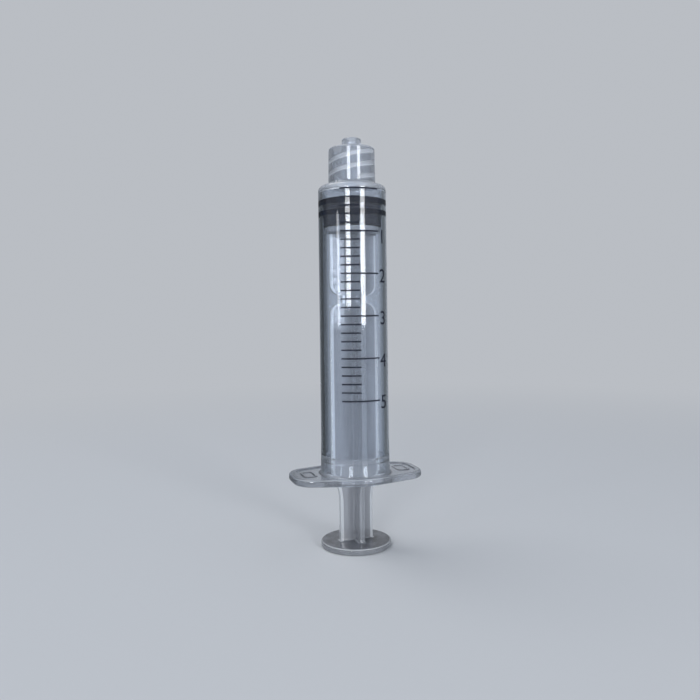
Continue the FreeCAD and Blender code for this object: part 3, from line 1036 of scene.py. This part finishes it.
def milky_where_thick(piece, thick, edge, thread, painted_shade, painted_highlight):
    """Gives the barrel's thick parts the milkier look of the same plastic in bulk, and paints light and
    shade on it.

    The steps of the flange's raised border and outlines, and the sharp edge of the mouth, get painted
    shade. The shoulder, the nozzle inside the collar, and the upper edges of the collar and the flange get
    painted highlights;
    the thread is whitened, the milkiest, as the brightest painted highlight, and the mouth and the nozzle's
    tip too.
    """
    for material in (thick, edge, thread, painted_shade, painted_highlight):
        piece.data.materials.append(material)
    thick_slot, edge_highlight_slot, thread_highlight_slot, painted_shade_slot, painted_highlight_slot = range(1, 6)
    near = 0.2 * mm
    hair = 0.02 * mm
    step_lift = 0.96
    nozzle_wall_gap = 0.8 * mm
    thread_band = 0.3 * mm
    thick_from_z = shoulder_z - shoulder_fall - 0.5 * mm
    thick_to_z = flange_top_z + 0.35 * mm
    thread_from_z = shoulder_z + 0.45 * mm
    shoulder_from_z = shoulder_z - shoulder_fall - shoulder_round
    centres = np.array([face.center for face in piece.data.polygons])
    step_reach = flange_reach(flange_edge_round + 2 * hair, np.arctan2(centres[:, 1], centres[:, 0]))
    for face in piece.data.polygons:
        x, y, height = face.center
        reach = math.hypot(x, y)
        lift = face.normal.z
        is_top = height > thick_from_z and reach > lumen_radius + near
        is_flange = height < thick_to_z and reach > root_radius + hair
        is_step = root_radius + root_fillet < reach < step_reach[face.index] and 0 < lift < step_lift
        is_upper_rim_highlight = reach > step_reach[face.index] and rim_highlight_lift_from < lift < rim_highlight_lift_to
        is_mouth = reach < mouth_radius + mouth_edge and height < open_end_z + bead_top + bead_slope
        is_on_mouth_edge = abs(reach - mouth_radius - mouth_edge / 2) < near
        is_mouth_edge = is_on_mouth_edge and height < open_end_z + mouth_edge_depth
        is_shoulder = height > shoulder_from_z and reach > collar_base_radius + near / 2
        is_beside_lumen = lumen_radius + near < reach < thread_minor_radius - nozzle_wall_gap
        is_nozzle = is_beside_lumen and height > shoulder_z + near
        is_collar_rim = reach > thread_major_radius and height > collar_top_z - collar_rim_round
        is_thread = height > thread_from_z and abs(reach - thread_minor_radius) < thread_band
        # The thread is whitened as the brightest painted highlight
        if is_thread:
            face.material_index = thread_highlight_slot
        # Painted highlight on the flange's upward-leaning rim
        elif is_flange and is_upper_rim_highlight:
            face.material_index = painted_highlight_slot
        # Painted shade on the border's steps, the outlines' walls and the mouth's sharp edge
        elif is_mouth_edge or (is_flange and is_step):
            face.material_index = painted_shade_slot
        # Milky painted highlight on the nozzle's tip above the collar
        elif is_nozzle and height > collar_top_z:
            face.material_index = edge_highlight_slot
        # Painted highlight on the shoulder, the nozzle inside the collar and the collar's rim
        elif is_shoulder or is_nozzle or is_collar_rim:
            face.material_index = painted_highlight_slot
        # Milky painted highlight in the mouth, up to the bead
        elif is_mouth:
            face.material_index = edge_highlight_slot
        elif is_top or is_flange:
            face.material_index = thick_slot


def bright_rib_edges(piece, edge, frosted, side_edge_highlight):
    """Paints highlights on the rod's rib edges and its disc's rim, as the glow of lit clear plastic, and
    gives its disc the frosting with a darker tint of painted shade.
    """
    for material in (edge, frosted, side_edge_highlight):
        piece.data.materials.append(material)
    edge_highlight_slot, frosted_painted_shade_slot, side_edge_highlight_slot = range(1, 4)
    # How many columns from each rib edge take the painted highlight
    side_rib_columns = 7
    front_rib_columns = 6
    flat_side = 0.8
    back = Matrix.Rotation(math.radians(-rod_turn_deg), 3, "Z")
    quarter_count = len(cross_section(shaft_half_span, rib_half_thickness)) // 4
    for face in piece.data.polygons:
        place = back @ face.center
        facing = back @ face.normal
        if place.z < thumb_thickness + 0.01 * mm:
            is_outermost = math.hypot(place.x, place.y) > thumb_radius - thumb_edge_round
            is_rim = is_outermost and facing.z > -flat_side
            # Painted highlight on the disc's rim; the rest of the disc is frosted, with a darker tint of
            # painted shade
            face.material_index = edge_highlight_slot if is_rim else frosted_painted_shade_slot
            # Brightest painted highlight on the rim's upward-leaning faces
            if is_rim and rim_highlight_lift_from < facing.z < rim_highlight_lift_to:
                face.material_index = side_edge_highlight_slot
        elif place.z < front_disc_low_z - end_root_round:
            is_side_rib = abs(place.x) > abs(place.y)
            sideways = facing.y if is_side_rib else facing.x
            column = face.index % quarter_count
            from_edge = min(column, quarter_count - 1 - column)
            # Brightest painted highlight along the side ribs' edges
            if is_side_rib and from_edge < side_rib_columns:
                face.material_index = side_edge_highlight_slot
            # Painted highlight along the front and back ribs' edges
            elif from_edge < front_rib_columns and abs(sideways) < flat_side:
                face.material_index = edge_highlight_slot


def finish_piece(piece, material, body, slot, *nodes):
    """Gives a finished piece its material and body, and hides the CAD nodes it stands for; its slot is not
    used.
    """
    piece.data.materials.clear()
    piece.data.materials.append(material)
    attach(piece, body)
    if nodes:
        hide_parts(*nodes)


photograph_camera()
backdrop_colour = (0.49, 0.513, 0.55)
studio(backdrop_colour, (0.38, 0.41, 0.46))
pale_floor(backdrop_colour, (0.62, 0.635, 0.655))

# The tint, how much light goes through, the roughness, the waves' height and scale, and the haze's depth
clear_finishes = {
    "clear_barrel_finish": ((0.76, 0.81, 0.88), 0.986, 0.04, 0.03 * mm, 260, 0.03),
    "thick_barrel_finish": ((0.49, 0.52, 0.57), 0.84, 0.06, 0.03 * mm, 260, 0.04),
    # Milky with a painted highlight: the mouth and the nozzle's tip
    "milky_painted_highlight_rim_finish": ((0.55, 0.585, 0.64), 0.76, 0.06, 0.03 * mm, 260, 0.04),
    # Whitest painted highlight: the thread, the rod's side rib edges and the disc's upward rim
    "whitest_painted_highlight_finish": ((0.82, 0.85, 0.89), 0.52, 0.06, 0.03 * mm, 260, 0.04),
    # Painted highlight: the shoulder, the nozzle inside the collar and the upper rims
    "painted_highlight_end_finish": ((0.66, 0.70, 0.76), 0.68, 0.06, 0.03 * mm, 260, 0.04),
    # Painted shade: the flange's steps and outlines, and the mouth's sharp edge
    "painted_shade_step_finish": ((0.15, 0.16, 0.185), 0.7, 0.08, 0.03 * mm, 260, 0.04),
    "clear_rod_finish": ((0.47, 0.49, 0.53), 0.58, 0.05, 0.09 * mm, 900, 0.25),
    # Painted highlight: the rod's rib edges and the disc's rim
    "painted_highlight_edge_finish": ((0.62, 0.65, 0.70), 0.74, 0.06, 0.04 * mm, 260, 0.04),
    # Frosted, with a darker tint as painted shade on the thumb disc's top
    "frosted_painted_shade_thumb_finish": ((0.27, 0.285, 0.325), 0.52, 0.2, 0.06 * mm, 1100, 0.7),
}
made = {name: clear_plastic(name, *looks) for name, looks in clear_finishes.items()}
ink_finish = scale_ink()

barrel_piece = clear_barrel_piece()
finish_piece(barrel_piece, made["clear_barrel_finish"], "barrel", "clear_barrel", "barrel")
milky_where_thick(
    barrel_piece,
    thick=made["thick_barrel_finish"],
    edge=made["milky_painted_highlight_rim_finish"],
    thread=made["whitest_painted_highlight_finish"],
    painted_shade=made["painted_shade_step_finish"],
    painted_highlight=made["painted_highlight_end_finish"],
)
# Light goes through clear plastic, and the lamps have to reach the rod and the stopper inside it
barrel_piece.visible_shadow = False
rod_piece = plunger_rod_piece()
finish_piece(rod_piece, made["clear_rod_finish"], "plunger", "clear_rod", "plunger_rod")
bright_rib_edges(
    rod_piece,
    edge=made["painted_highlight_edge_finish"],
    frosted=made["frosted_painted_shade_thumb_finish"],
    side_edge_highlight=made["whitest_painted_highlight_finish"],
)
finish_piece(stopper_piece(), black_rubber(), "stopper", "black_rubber", "rubber_stopper")
finish_piece(printed_lines_piece(ink_finish), ink_finish, "barrel", "scale_ink", "graduation_lines")
finish_piece(scale_figures_piece(ink_finish), ink_finish, "barrel", "scale_ink")
